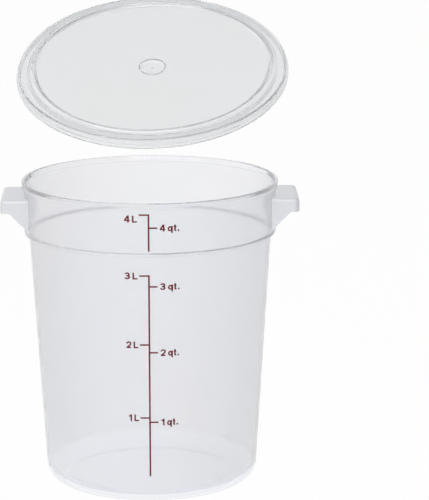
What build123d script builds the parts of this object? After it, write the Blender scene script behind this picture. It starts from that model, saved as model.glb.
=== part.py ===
from build123d import *
from math import sqrt
import os

# Dough proofing container of about four litres, in millimetres.
# Origin: centre of the foot ring, on the surface that the container stands on. +Z is up,
# the printed scale is at the front (-Y) and the handles are at -X and +X.

# Container: heights
height = 215.5
band_height = 37.4             # stacking band, from the ledge under it up to the top
rim_lip_height = 4.3           # the thick rim, down from the top
mouth_bevel_height = 2.95      # lead-in for the lid, down from the top

# Container: outside
band_radius = 88.45
rim_lip_width = 1.4            # how far the rim stands out from the band
ledge_width = 3.4              # how far the band stands out from the wall
wall_base_radius = 74.0        # where the tapered wall would meet the table

# Container: walls and roundings
wall = 2.0
mouth_bevel_width = 1.0
base_thickness = 2.6
base_recess = 2.0              # the base is raised inside the foot ring
base_corner_radius = 11.7
base_inside_radius = 8.9
foot_ring_width = 1.5
foot_slope_width = 1.4
ledge_rounding = 1.5
shoulder_inside_rounding = 1.0
rim_rounding = 0.6
foot_rounding = 0.5

# Handles: a flat top plate with a lip and two webs turned down, open below
handle_reach = 15.5            # how far the handle stands out from the band
handle_width = 51.0
handle_drop = 9.9              # from the top of the rim down to the top plate
handle_lip_height = 9.5        # outer lip, down from the top plate
handle_lip_depth = 6.1         # level foot of the lip, from its face in to the sloping webs
handle_foot_rise = 4.6         # from the ledge up to the foot of the webs
handle_wall = 2.0
handle_corner_radius = 3.6
handle_edge_radius = 2.6
handle_web_radius = 3.0        # between the lip's foot and the webs

# Printed scale: one line in two stretches, with litre marks on its left and quarts on its right
ink_thickness = 0.15
scale_line_width = 1.1
scale_line_offset = -1.15      # the line stands a little left of the middle
tick_thickness = 1.0
litre_tick_length = 6.5
quart_tick_length = 5.8
wall_line_foot = 20.8
band_line_rise = 4.4           # from the ledge up to the foot of the line's upper stretch
litre_mark_drop = 7.9          # 4 litre mark, down from the top of the rim
quart_mark_drop = 16.9         # 4 quart mark, down from the top of the rim
litre_mark_shares = [0.3554, 0.6503, 0.9248]    # 1, 2 and 3 litre marks, of the ledge's height
quart_mark_shares = [0.3378, 0.6189, 0.8817]    # 1, 2 and 3 quart marks, of the ledge's height

# Lid: heights above the lower edge of its skirt
lid_wall = 1.6
skirt_wall = 1.65
skirt_lead_in = 0.5
flange_width = 1.3             # how far the flange stands out from the skirt
flange_height = 2.7
flange_step = 0.3
flange_rounding = 0.4
ring_height = 6.6
ring_width = 8.6               # from the outside of the skirt in to the bead
shoulder_radius = 1.5
bead_width = 4.2
bead_crown_width = 1.0
bead_rise = 1.5
bead_rounding = 0.4
groove_width = 3.0             # under the bead
groove_crown_width = 0.4
panel_drop = 0.2               # the panel lies a little lower than the ring
lip_thickness = 1.3
lip_depth = 3.6                # sealing lip, down from the ring's underside
lip_rounding = 0.4
dish_radius = 8.7              # gate dish in the middle, with a flat floor
dish_depth = 2.2
dish_slope_width = 1.2
dish_rounding = 0.8
gate_radius = 0.8
gate_height = 0.7

# Lid on the container
skirt_clearance = 0.6          # skirt to rim
lip_clearance = 0.65           # sealing lip to mouth
seat_clearance = 0.2           # ring to the top of the rim

# Lid as it is held: lifted off the rim and tilted back, on an arc about a line in front
lift_angle = 23.65
lift_line_reach = 115.7        # from the front of the flange
lift_line_drop = 11.4          # below the foot of the closed lid
lift_line_turn = -4.24         # about Z, from +X
lift_line_dip = 2.82           # then down towards its right end

# How far a cutting tool runs past the face that it cuts
overrun = 1.0

# Sizes that follow from the ones above
ledge_height = height - band_height
rim_lip_foot = height - rim_lip_height
rim_radius = band_radius + rim_lip_width
wall_top_radius = band_radius - ledge_width
mouth_radius = band_radius - wall
floor_height = base_recess + base_thickness
foot_inner_radius = wall_base_radius - base_corner_radius - foot_ring_width
handle_face = band_radius + handle_reach
handle_top = height - handle_drop
handle_lip_foot = handle_top - handle_lip_height
handle_foot = ledge_height + handle_foot_rise
litre_mark_heights = [share * ledge_height for share in litre_mark_shares]
quart_mark_heights = [share * ledge_height for share in quart_mark_shares]
ring_underside = ring_height - lid_wall
skirt_inner_radius = rim_radius + skirt_clearance
skirt_radius = skirt_inner_radius + skirt_wall
flange_radius = skirt_radius + flange_width
bead_outer_radius = skirt_radius - ring_width
lip_radius = mouth_radius - lip_clearance
lid_seat = height + seat_clearance - ring_underside
lift_line_front = flange_radius + lift_line_reach
lift_line_height = lid_seat - lift_line_drop


def wall_radius(level):
    """Outside radius of the tapered wall at a height."""
    return wall_base_radius + (wall_top_radius - wall_base_radius) * level / ledge_height


def rounded(outline, corner, radius):
    """Round the corner of a flat outline that lies nearest to a point."""
    vertex = outline.vertices().sort_by_distance(Vector(*corner))[0]
    return fillet(vertex, radius)


def turned(outline):
    """Spin a flat outline of radius and height about the upright axis."""
    return revolve(Plane.XZ * outline, Axis.Z)


def make_container():
    """Turned moulding: raised base, tapered wall, stacking band and thick rim."""
    outer_foot = (wall_base_radius, 0)
    inner_foot = (foot_inner_radius, 0)
    ledge_outside = (band_radius, ledge_height)
    rim_outside = (rim_radius, height)
    rim_inside = (mouth_radius + mouth_bevel_width, height)
    shoulder_outside = (mouth_radius, ledge_height + wall)
    shoulder_inside = (wall_top_radius - wall, ledge_height + wall)
    floor_corner = (wall_radius(floor_height) - wall, floor_height)
    outline = make_face(Polyline(
        inner_foot,
        outer_foot,
        (wall_top_radius, ledge_height),
        ledge_outside,
        (band_radius, rim_lip_foot),
        (rim_radius, rim_lip_foot),
        rim_outside,
        rim_inside,
        (mouth_radius, height - mouth_bevel_height),
        shoulder_outside,
        shoulder_inside,
        floor_corner,
        (0, floor_height),
        (0, base_recess),
        (foot_inner_radius - foot_slope_width, base_recess),
        close=True,
    ))
    outline = rounded(outline, outer_foot, base_corner_radius)
    outline = rounded(outline, inner_foot, foot_rounding)
    outline = rounded(outline, ledge_outside, ledge_rounding)
    outline = rounded(outline, rim_outside, rim_rounding)
    outline = rounded(outline, rim_inside, rim_rounding)
    outline = rounded(outline, shoulder_outside, shoulder_inside_rounding)
    outline = rounded(outline, shoulder_inside, shoulder_inside_rounding)
    outline = rounded(outline, floor_corner, base_inside_radius)
    return turned(outline)


def handle_block(face, width, corner_radius, edge_radius, foot, top):
    """Upright slab with a flat end and a rounded top, from the middle of the container."""
    slab = Rectangle(face, width, align=(Align.MIN, Align.CENTER))
    slab = fillet(slab.vertices().sort_by(Axis.X)[-2:], corner_radius)
    block = Pos(0, 0, foot) * extrude(slab, top - foot)
    top_edges = block.faces().sort_by(Axis.Z)[-1].edges().sort_by(Axis.X)[1:]
    return fillet(top_edges, edge_radius)


def make_handle():
    """Handle at +X, up to the outside of the band."""
    outside = handle_block(
        handle_face, handle_width, handle_corner_radius, handle_edge_radius,
        handle_foot, handle_top,
    )
    pocket = handle_block(
        handle_face - handle_wall, handle_width - 2 * handle_wall,
        handle_corner_radius / 2, handle_edge_radius / 2,
        handle_foot - overrun, handle_top - handle_wall,
    )
    web_foot_reach = sqrt(band_radius ** 2 - (handle_width / 2) ** 2)
    web_top = (handle_face - handle_lip_depth, handle_lip_foot)
    clear_below = make_face(Polyline(
        (web_foot_reach, handle_foot),
        web_top,
        (handle_face + overrun, handle_lip_foot),
        (handle_face + overrun, handle_foot - overrun),
        (web_foot_reach, handle_foot - overrun),
        close=True,
    ))
    clear_below = rounded(clear_below, web_top, handle_web_radius)
    below_webs = extrude(Plane.XZ * clear_below, handle_width, both=True)
    band = Pos(0, 0, handle_foot - overrun) * Cylinder(
        band_radius, handle_top - handle_foot + 2 * overrun,
        align=(Align.CENTER, Align.CENTER, Align.MIN),
    )
    return outside - pocket - below_webs - band


def ink_bar(left, right, foot, top):
    """Block that stands in front of the container over one bar of the scale."""
    reach = rim_radius + overrun
    return Pos(left, -reach, foot) * Box(
        right - left, reach, top - foot, align=(Align.MIN, Align.MIN, Align.MIN),
    )


def ink_bars(line_foot, line_top, litre_marks, quart_marks):
    """Line of the scale with its litre marks on the left and quart marks on the right."""
    half_line = scale_line_width / 2
    half_tick = tick_thickness / 2
    middle = scale_line_offset
    bars = ink_bar(middle - half_line, middle + half_line, line_foot, line_top)
    for level in litre_marks:
        bars += ink_bar(middle - litre_tick_length, middle, level - half_tick, level + half_tick)
    for level in quart_marks:
        bars += ink_bar(middle, middle + quart_tick_length, level - half_tick, level + half_tick)
    return bars


def make_scale():
    """Thin ink on the band and on the tapered wall, in two stretches."""
    half_tick = tick_thickness / 2
    band_skin = turned(make_face(Polyline(
        (band_radius, ledge_height),
        (band_radius + ink_thickness, ledge_height),
        (band_radius + ink_thickness, rim_lip_foot),
        (band_radius, rim_lip_foot),
        close=True,
    )))
    wall_skin = turned(make_face(Polyline(
        (wall_base_radius, 0),
        (wall_base_radius + ink_thickness, 0),
        (wall_top_radius + ink_thickness, ledge_height),
        (wall_top_radius, ledge_height),
        close=True,
    )))
    litre_top_mark = height - litre_mark_drop
    quart_top_mark = height - quart_mark_drop
    band_bars = ink_bars(
        ledge_height + band_line_rise, litre_top_mark + half_tick,
        [litre_top_mark], [quart_top_mark],
    )
    wall_bars = ink_bars(
        wall_line_foot, litre_mark_heights[-1] + half_tick,
        litre_mark_heights, quart_mark_heights,
    )
    return [band_skin & band_bars, wall_skin & wall_bars]


def make_closed_lid():
    """Turned moulding: skirt and flange, ring, stacking bead, panel, gate dish, sealing lip."""
    bead_middle = bead_outer_radius - bead_width / 2
    bead_inner_radius = bead_outer_radius - bead_width
    bead_top = ring_height + bead_rise
    half_crown = bead_crown_width / 2
    half_groove = groove_width / 2
    half_groove_crown = groove_crown_width / 2
    panel_height = ring_height - panel_drop
    panel_underside = panel_height - lid_wall
    dish_floor = panel_height - dish_depth
    dish_floor_radius = dish_radius - dish_slope_width
    flange_foot = (flange_radius, 0)
    flange_top = (flange_radius, flange_height)
    shoulder = (skirt_radius, ring_height)
    bead_outer_crown = (bead_middle + half_crown, bead_top)
    bead_inner_crown = (bead_middle - half_crown, bead_top)
    dish_edge = (dish_radius, panel_height)
    dish_corner = (dish_floor_radius, dish_floor)
    dish_back_edge = (dish_radius + lid_wall / 2, panel_underside)
    dish_back_corner = (dish_floor_radius + lid_wall / 2, dish_floor - lid_wall)
    lip_outer_foot = (lip_radius, ring_underside - lip_depth)
    lip_inner_foot = (lip_radius - lip_thickness, ring_underside - lip_depth)
    outline = make_face(Polyline(
        (0, dish_floor - lid_wall),
        dish_back_corner,
        dish_back_edge,
        (bead_middle - half_groove, panel_underside),
        (bead_middle - half_groove_crown, bead_top - lid_wall),
        (bead_middle + half_groove_crown, bead_top - lid_wall),
        (bead_middle + half_groove, ring_underside),
        (lip_radius - lip_thickness, ring_underside),
        lip_inner_foot,
        lip_outer_foot,
        (lip_radius, ring_underside),
        (skirt_inner_radius, ring_underside),
        (skirt_inner_radius, 2 * skirt_lead_in),
        (skirt_inner_radius + skirt_lead_in, 0),
        flange_foot,
        flange_top,
        (skirt_radius, flange_height + flange_step),
        shoulder,
        (bead_outer_radius, ring_height),
        bead_outer_crown,
        bead_inner_crown,
        (bead_inner_radius, panel_height),
        dish_edge,
        dish_corner,
        (0, dish_floor),
        close=True,
    ))
    outline = rounded(outline, flange_foot, flange_rounding)
    outline = rounded(outline, flange_top, flange_rounding)
    outline = rounded(outline, shoulder, shoulder_radius)
    outline = rounded(outline, bead_outer_crown, bead_rounding)
    outline = rounded(outline, bead_inner_crown, bead_rounding)
    outline = rounded(outline, lip_inner_foot, lip_rounding)
    outline = rounded(outline, lip_outer_foot, lip_rounding)
    outline = rounded(outline, dish_corner, dish_rounding)
    outline = rounded(outline, dish_back_corner, dish_rounding)
    gate = Pos(0, 0, dish_floor - lid_wall / 2) * Cylinder(
        gate_radius, lid_wall / 2 + gate_height, align=(Align.CENTER, Align.CENTER, Align.MIN),
    )
    return Pos(0, 0, lid_seat) * (turned(outline) + gate)


def lift_line():
    """Line that the lid turns about on its way from the rim to where it is held."""
    direction = Vector(1, 0, 0).rotate(Axis.Y, lift_line_dip).rotate(Axis.Z, lift_line_turn)
    return Axis((0, -lift_line_front, lift_line_height), direction)


def make_held_lid():
    """The lid as it is held, lifted and tilted."""
    return make_closed_lid().rotate(lift_line(), lift_angle)


right_handle = make_handle()
parts = {
    "container": make_container(),
    "left_handle": right_handle.rotate(Axis.Z, 180),
    "right_handle": right_handle,
    "printed_scale": Compound(make_scale()),
    "lid": make_held_lid(),
}

os.makedirs("parts", exist_ok=True)
for name, shape in parts.items():
    export_step(shape, "parts/" + name + ".step")
print("lift line:", lift_line())
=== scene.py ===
from math import asin, cos, radians, sin

import bmesh
import bpy
from mathutils import Euler, Matrix, Vector


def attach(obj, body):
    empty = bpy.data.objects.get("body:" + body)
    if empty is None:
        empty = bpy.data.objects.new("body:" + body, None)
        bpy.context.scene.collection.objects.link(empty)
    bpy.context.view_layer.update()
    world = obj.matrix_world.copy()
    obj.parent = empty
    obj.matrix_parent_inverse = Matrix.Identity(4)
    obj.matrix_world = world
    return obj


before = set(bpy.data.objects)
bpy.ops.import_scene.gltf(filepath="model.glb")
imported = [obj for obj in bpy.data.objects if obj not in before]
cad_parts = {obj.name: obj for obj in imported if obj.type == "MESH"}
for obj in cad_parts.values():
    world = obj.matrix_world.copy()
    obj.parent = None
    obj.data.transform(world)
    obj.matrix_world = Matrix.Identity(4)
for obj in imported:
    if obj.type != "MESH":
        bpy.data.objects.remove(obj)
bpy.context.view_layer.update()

# Dough proofing container with its lid lifted off, in metres.
# +Z is up, the printed scale is at the front (-Y) and the handles are at -X and +X.

mm = 0.001

# Camera, worked out from the photograph
photo_height_px = 500
focal_px = 2723.4
sensor = 36.0
camera_place = Vector((0.0, -1877.0, 580.0)) * mm
camera_turn = 0.0241           # to the right, in radians
camera_dip = 0.2182            # downwards
camera_roll = 0.0024           # its right side down
camera_reach = 20.0

# Plastic: wide patches of two tints, and a fine grain on the surface
patch_scale = 10.0
patch_detail = 1.0
patch_contrast = 2.0
patch_roughness = 0.04         # how far the patches change the roughness of the clear part
grain_scale = 1400.0
grain_detail = 2.0
grain_strength = 0.04
grain_depth = 0.2              # in mm
clear_ior = 1.42
milk_ior = 1.49
glow_share = 0.3               # the part of the milk that light shines through
edge_milk = 0.06               # more milk where the surface is seen edge on
edge_blend = 0.35              # how wide that edge is
shadow_share = 0.97            # the part of shadow and bounced light that passes straight through

# Foot, where light passes straight through: wholly below the first height, not at all above the second.
# This lighter foot is painted light, standing in for the floor's light that shines up through the plastic
foot_height = 8.0              # in mm
foot_end = 15.0
foot_lightening = 0.65           # less milk there

# Ink: small patches where it lies thinner
ink_patch_scale = 900.0
ink_patch_detail = 2.0
ink_patch_start = 0.45         # above this level of a patch the ink is thinner
ink_patch_contrast = 0.8
ink_thinning = 0.15            # towards a middle grey
middle_grey = 0.5
ink_roughness = 0.55
ink_patch_roughness = 0.15
ink_gloss = 0.2

# Light from all round: its level, and how much more comes from the left, the front and below
light_level = 0.70
light_left = 0.45
light_front = 0.25
light_below = 0.5

# Grey ceiling that leans to the front, seen only in gloss and through the plastic
ceiling_rise = 0.9
ceiling_lean = 0.3
ceiling_start = 0.2
ceiling_end = 0.5
ceiling_shade = 0.35

# Floor
floor_radius = 6.0
floor_paper = 0.9
floor_white = 0.97             # the part of the paper that is seen as plain white

# Container sizes that the printed words follow, in mm
ledge_height = 178.1
band_radius = 88.45
wall_top_radius = 85.05
wall_base_radius = 74.0

# Printed words beside the scale: left end, right end and middle height, in mm
cap_height = 4.75
ink_thickness = 0.15
printed_words = (
    ("4 L", -17.67, -8.87, 204.8),
    ("3 L", -17.75, -8.80, 164.6),
    ("2 L", -16.95, -8.70, 115.8),
    ("1 L", -15.68, -8.60, 63.3),
    ("4 qt.", 6.24, 19.56, 198.6),
    ("3 qt.", 6.30, 19.50, 157.1),
    ("2 qt.", 6.40, 19.00, 110.2),
    ("1 qt.", 6.60, 18.08, 60.2),
)


class Signal:
    """A socket in a shader. Sums on it add Math nodes."""

    def __init__(self, tree, socket):
        self.tree = tree
        self.socket = socket

    def math(self, operation, *values):
        return self.tree.node("ShaderNodeMath", {"operation": operation}, dict(enumerate(values)))

    def __add__(self, other):
        return self.math("ADD", self, other)

    def __radd__(self, other):
        return self.math("ADD", other, self)

    def __sub__(self, other):
        return self.math("SUBTRACT", self, other)

    def __rsub__(self, other):
        return self.math("SUBTRACT", other, self)

    def __mul__(self, other):
        return self.math("MULTIPLY", self, other)

    def __rmul__(self, other):
        return self.math("MULTIPLY", other, self)


class Shading:
    """The node tree of one material or of the world."""

    def __init__(self, owner):
        owner.use_nodes = True
        self.tree = owner.node_tree
        self.tree.nodes.clear()

    def node(self, kind, settings=None, inputs=None, output=0):
        made = self.tree.nodes.new(kind)
        for name, value in (settings or {}).items():
            setattr(made, name, value)
        for name, value in (inputs or {}).items():
            if isinstance(value, Signal):
                self.tree.links.new(value.socket, made.inputs[name])
            else:
                made.inputs[name].default_value = value
        return Signal(self, made.outputs[output] if made.outputs else None)


def along(shading, vector, axis):
    """One coordinate of a vector."""
    return shading.node("ShaderNodeSeparateXYZ", inputs={0: vector}, output=axis)


def mottle(shading, place, scale, detail):
    """Soft patches that run between zero and one."""
    return shading.node("ShaderNodeTexNoise", inputs={"Vector": place, "Scale": scale, "Detail": detail})


def fade(shading, value, start, end, first, last):
    """Smooth change from the first level to the last as the value goes from start to end."""
    return shading.node(
        "ShaderNodeMapRange", {"interpolation_type": "SMOOTHSTEP"},
        {0: value, 1: start, 2: end, 3: first, 4: last},
    )


def blend_tint(shading, factor, first, second):
    """A colour between two."""
    return shading.node(
        "ShaderNodeMix", {"data_type": "RGBA"},
        {"Factor": factor, "A": (*first, 1.0), "B": (*second, 1.0)}, output="Result",
    )


def blend_shader(shading, factor, first, second):
    """The first shader at a factor of zero, the second at one."""
    return shading.node("ShaderNodeMixShader", inputs={0: factor, 1: first, 2: second})


def ray_is(shading, *kinds):
    """One for rays of the kinds named, zero for all others."""
    rays = [shading.node("ShaderNodeLightPath", output="Is " + kind + " Ray") for kind in kinds]
    total = rays[0]
    for ray in rays[1:]:
        total = total + ray
    return total.math("MINIMUM", total, 1.0)


def plastic(name, clear_tints, milk_tints, milk, gloss, clear_roughness, milk_roughness):
    """Translucent polypropylene: clear plastic with a milky veil, its tint shifting in wide patches."""
    material = bpy.data.materials.new(name)
    shading = Shading(material)
    place = shading.node("ShaderNodeTexCoord", output="Object")
    height = along(shading, place, "Z")
    cloud = mottle(shading, place, patch_scale, patch_detail)
    grain = mottle(shading, place, grain_scale, grain_detail)
    patches = (cloud - 0.5) * patch_contrast + 0.5
    skin = shading.node("ShaderNodeBump", inputs={
        "Strength": grain_strength,
        "Distance": grain_depth * mm,
        "Height": grain,
    })
    clear = shading.node("ShaderNodeBsdfPrincipled", inputs={
        "Base Color": blend_tint(shading, patches, *clear_tints),
        "Roughness": clear_roughness + (cloud - 0.5) * patch_roughness,
        "Normal": skin,
        "IOR": clear_ior,
        "Transmission Weight": 1.0,
    })
    milky = shading.node("ShaderNodeBsdfPrincipled", inputs={
        "Base Color": blend_tint(shading, patches, *milk_tints),
        "Roughness": milk_roughness,
        "Normal": skin,
        "IOR": milk_ior,
        "Specular IOR Level": gloss,
    })
    glow = shading.node("ShaderNodeBsdfTranslucent", inputs={"Color": (*milk_tints[0], 1.0)})
    veil = blend_shader(shading, glow_share, milky, glow)
    # Painted light: towards the foot the plastic turns see-through and less milky, so the foot shows
    # lighter, as where the floor's light shines up through it
    foot = fade(shading, height, foot_height * mm, foot_end * mm, 1.0, 0.0)
    straight = shading.node("ShaderNodeBsdfTransparent", inputs={"Color": (*clear_tints[0], 1.0)})
    window = blend_shader(shading, foot, clear, straight)
    edge = shading.node(
        "ShaderNodeLayerWeight", inputs={"Blend": edge_blend, "Normal": skin}, output="Facing",
    )
    share = (milk + edge * edge_milk) * (1.0 - foot * foot_lightening)
    body = blend_shader(shading, share, window, veil)
    through = ray_is(shading, "Shadow", "Diffuse")
    open_way = shading.node("ShaderNodeBsdfTransparent")
    surface = blend_shader(shading, through * shadow_share, body, open_way)
    shading.node("ShaderNodeOutputMaterial", inputs={"Surface": surface})
    return material


def ink(name, colour):
    """Matt printing ink, a little uneven in strength."""
    material = bpy.data.materials.new(name)
    shading = Shading(material)
    place = shading.node("ShaderNodeTexCoord", output="Object")
    patches = mottle(shading, place, ink_patch_scale, ink_patch_detail)
    thin = tuple((1.0 - ink_thinning) * part + ink_thinning * middle_grey for part in colour)
    thinness = (patches - ink_patch_start) * ink_patch_contrast
    surface = shading.node("ShaderNodeBsdfPrincipled", inputs={
        "Base Color": blend_tint(shading, thinness, colour, thin),
        "Roughness": ink_roughness + patches * ink_patch_roughness,
        "Specular IOR Level": ink_gloss,
    })
    shading.node("ShaderNodeOutputMaterial", inputs={"Surface": surface})
    return material


def dress(node, material):
    """Give a CAD node its finish."""
    node.data.materials.clear()
    node.data.materials.append(material)


container_plastic = plastic(
    "container_plastic",
    clear_tints=((0.959, 0.966, 0.983), (0.969, 0.966, 0.976)),
    milk_tints=((0.695, 0.722, 0.775), (0.735, 0.715, 0.735)),
    milk=0.16, gloss=0.5, clear_roughness=0.08, milk_roughness=0.35,
)
# The same plastic as the container, in a copy for the handles that is milkier and a little darker: painted
# shade for their greyer look. It is also glossier, for brighter highlights on their edges
handle_shaded_plastic = plastic(
    "handle_shaded_plastic",
    clear_tints=((0.925, 0.935, 0.955), (0.925, 0.935, 0.955)),
    milk_tints=((0.67, 0.685, 0.72), (0.69, 0.69, 0.72)),
    milk=0.75, gloss=0.8, clear_roughness=0.08, milk_roughness=0.22,
)
lid_plastic = plastic(
    "lid_plastic",
    clear_tints=((0.971, 0.981, 0.984), (0.972, 0.979, 0.991)),
    milk_tints=((0.62, 0.64, 0.64), (0.63, 0.64, 0.675)),
    milk=0.22, gloss=0.5, clear_roughness=0.14, milk_roughness=0.35,
)
scale_ink = ink("scale_ink", (0.13, 0.003, 0.009))
dress(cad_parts["container"], container_plastic)
dress(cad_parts["left_handle"], handle_shaded_plastic)
dress(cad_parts["right_handle"], handle_shaded_plastic)
dress(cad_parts["lid"], lid_plastic)
dress(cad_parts["printed_scale"], scale_ink)


def wall_radius(level):
    """Outside radius of the container at a height, in mm."""
    if level > ledge_height:
        return band_radius
    return wall_base_radius + (wall_top_radius - wall_base_radius) * level / ledge_height


bow_steps = 12


def bow(across, up, half_width, half_height, start, end):
    """Points along part of an ellipse, from one angle to another in degrees."""
    angles = [radians(start + (end - start) * step / bow_steps) for step in range(bow_steps + 1)]
    return [(across + half_width * cos(angle), up + half_height * sin(angle)) for angle in angles]


# Letter shapes as strokes, with a capital one unit tall: width, then the middle line of each stroke
stroke_width = 0.20
letters = {
    "1": (0.62, [[(0.33, 1.0), (0.33, 0.0)], [(0.03, 0.72), (0.20, 0.77), (0.30, 0.90)]]),
    "2": (0.84, [bow(0.34, 0.66, 0.25, 0.25, 175, -35) + [(0.12, 0.10)], [(0.02, 0.09), (0.64, 0.09)]]),
    "3": (0.86, [
        bow(0.33, 0.71, 0.23, 0.20, 165, -90) + [(0.24, 0.51)],
        [(0.24, 0.51)] + bow(0.33, 0.30, 0.26, 0.21, 90, -165),
    ]),
    "4": (0.86, [[(0.50, 1.0), (0.50, 0.0)], [(0.46, 0.94), (0.08, 0.30)], [(0.03, 0.29), (0.70, 0.29)]]),
    "L": (0.62, [[(0.09, 1.0), (0.09, 0.0)], [(0.09, 0.09), (0.62, 0.09)]]),
    "q": (0.72, [bow(0.29, 0.36, 0.20, 0.28, 0, 360), [(0.53, 0.74), (0.53, -0.26)]]),
    "t": (0.46, [
        [(0.18, 0.94), (0.18, 0.20)] + bow(0.28, 0.20, 0.10, 0.12, 180, 270) + [(0.34, 0.08)],
        [(0.02, 0.66), (0.36, 0.66)],
    ]),
    ".": (0.26, [[(0.16, 0.22), (0.16, 0.0)]]),
    " ": (0.14, []),
}


def draw_words(words):
    """Flat words as a mesh of round strokes, a capital one unit tall."""
    curve = bpy.data.curves.new("words", "CURVE")
    curve.dimensions = "3D"
    curve.bevel_depth = stroke_width / 2
    curve.bevel_resolution = 1
    curve.use_fill_caps = True
    start = 0.0
    for letter in words:
        width, strokes = letters[letter]
        for stroke in strokes:
            line = curve.splines.new("POLY")
            line.points.add(len(stroke) - 1)
            for point, (across, up) in zip(line.points, stroke):
                point.co = (start + across, up, 0.0, 1.0)
        start += width
    drawing = bpy.data.objects.new("words", curve)
    bpy.context.scene.collection.objects.link(drawing)
    bpy.context.view_layer.update()
    mesh = bpy.data.meshes.new_from_object(drawing)
    bpy.data.objects.remove(drawing)
    return mesh


def add_words(words, left, right, middle):
    """Words printed on the round front of the container, their strokes pressed flat."""
    mesh = draw_words(words)
    starts = min(vertex.co.x for vertex in mesh.vertices)
    ends = max(vertex.co.x for vertex in mesh.vertices)
    for vertex in mesh.vertices:
        across = left + (vertex.co.x - starts) / (ends - starts) * (right - left)
        level = middle + (vertex.co.y - 0.5) * cap_height
        radius = wall_radius(level)
        angle = asin(across / radius)
        reach = radius + vertex.co.z * 2 / stroke_width * ink_thickness
        vertex.co = Vector((reach * sin(angle), -reach * cos(angle), level)) * mm
    name = "words_" + "".join(letter for letter in words if letter.isalnum())
    printed = bpy.data.objects.new(name, mesh)
    bpy.context.scene.collection.objects.link(printed)
    mesh.materials.append(scale_ink)
    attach(printed, "container")


def add_camera():
    """Camera at the photograph's place and angle."""
    data = bpy.data.cameras.new("camera")
    data.sensor_width = sensor
    data.lens = focal_px / photo_height_px * sensor
    data.clip_end = camera_reach
    camera = bpy.data.objects.new("camera", data)
    bpy.context.scene.collection.objects.link(camera)
    camera.location = camera_place
    aim = Euler((radians(90) - camera_dip, 0.0, -camera_turn)).to_matrix()
    camera.rotation_euler = (aim @ Matrix.Rotation(-camera_roll, 3, "Z")).to_euler()
    bpy.context.scene.camera = camera


def add_lamp(name, place, target, width, height, watts):
    """Soft rectangular lamp that points at a target, sizes in metres."""
    data = bpy.data.lights.new(name, "AREA")
    data.shape = "RECTANGLE"
    data.size = width
    data.size_y = height
    data.energy = watts
    lamp = bpy.data.objects.new(name, data)
    bpy.context.scene.collection.objects.link(lamp)
    lamp.location = place
    lamp.rotation_euler = (Vector(target) - Vector(place)).to_track_quat("-Z", "Y").to_euler()


def add_world():
    """White all round, with the light on the container stronger from the left, the front and below."""
    world = bpy.data.worlds.new("studio")
    bpy.context.scene.world = world
    shading = Shading(world)
    way = shading.node("ShaderNodeTexCoord", output="Generated")
    left = 0.0 - along(shading, way, "X")
    front = 0.0 - along(shading, way, "Y")
    height = along(shading, way, "Z")
    strength = light_level + left * light_left + front * light_front - height * light_below
    light = shading.node("ShaderNodeBackground", inputs={"Color": (1, 1, 1, 1), "Strength": strength})
    overhead = height * ceiling_rise + front * ceiling_lean
    ceiling = fade(shading, overhead, ceiling_start, ceiling_end, 0.0, ceiling_shade)
    seen_level = 1.0 - ceiling * ray_is(shading, "Glossy", "Transmission")
    backdrop = shading.node("ShaderNodeBackground", inputs={"Color": (1, 1, 1, 1), "Strength": seen_level})
    seen = ray_is(shading, "Camera", "Glossy", "Transmission")
    surface = blend_shader(shading, seen, light, backdrop)
    shading.node("ShaderNodeOutputWorld", inputs={"Surface": surface})


def add_floor():
    """White paper that shows as white and keeps a trace of the shadow."""
    mesh = bpy.data.meshes.new("floor")
    shape = bmesh.new()
    bmesh.ops.create_circle(shape, cap_ends=True, segments=96, radius=floor_radius)
    shape.to_mesh(mesh)
    shape.free()
    floor = bpy.data.objects.new("floor", mesh)
    bpy.context.scene.collection.objects.link(floor)
    material = bpy.data.materials.new("floor_white")
    shading = Shading(material)
    paper = shading.node(
        "ShaderNodeBsdfDiffuse", inputs={"Color": (floor_paper, floor_paper, floor_paper, 1.0)},
    )
    plain = shading.node("ShaderNodeEmission", inputs={"Color": (1, 1, 1, 1), "Strength": 1.0})
    seen = ray_is(shading, "Camera", "Glossy", "Transmission")
    surface = blend_shader(shading, seen * floor_white, paper, plain)
    shading.node("ShaderNodeOutputMaterial", inputs={"Surface": surface})
    mesh.materials.append(material)


for words, left, right, middle in printed_words:
    add_words(words, left, right, middle)

add_camera()
add_world()
add_floor()
add_lamp("key", place=(-0.3, -1.3, 1.5), target=(0, 0, 0.15), width=2.0, height=1.0, watts=26.0)

bpy.context.scene.view_settings.view_transform = "Standard"
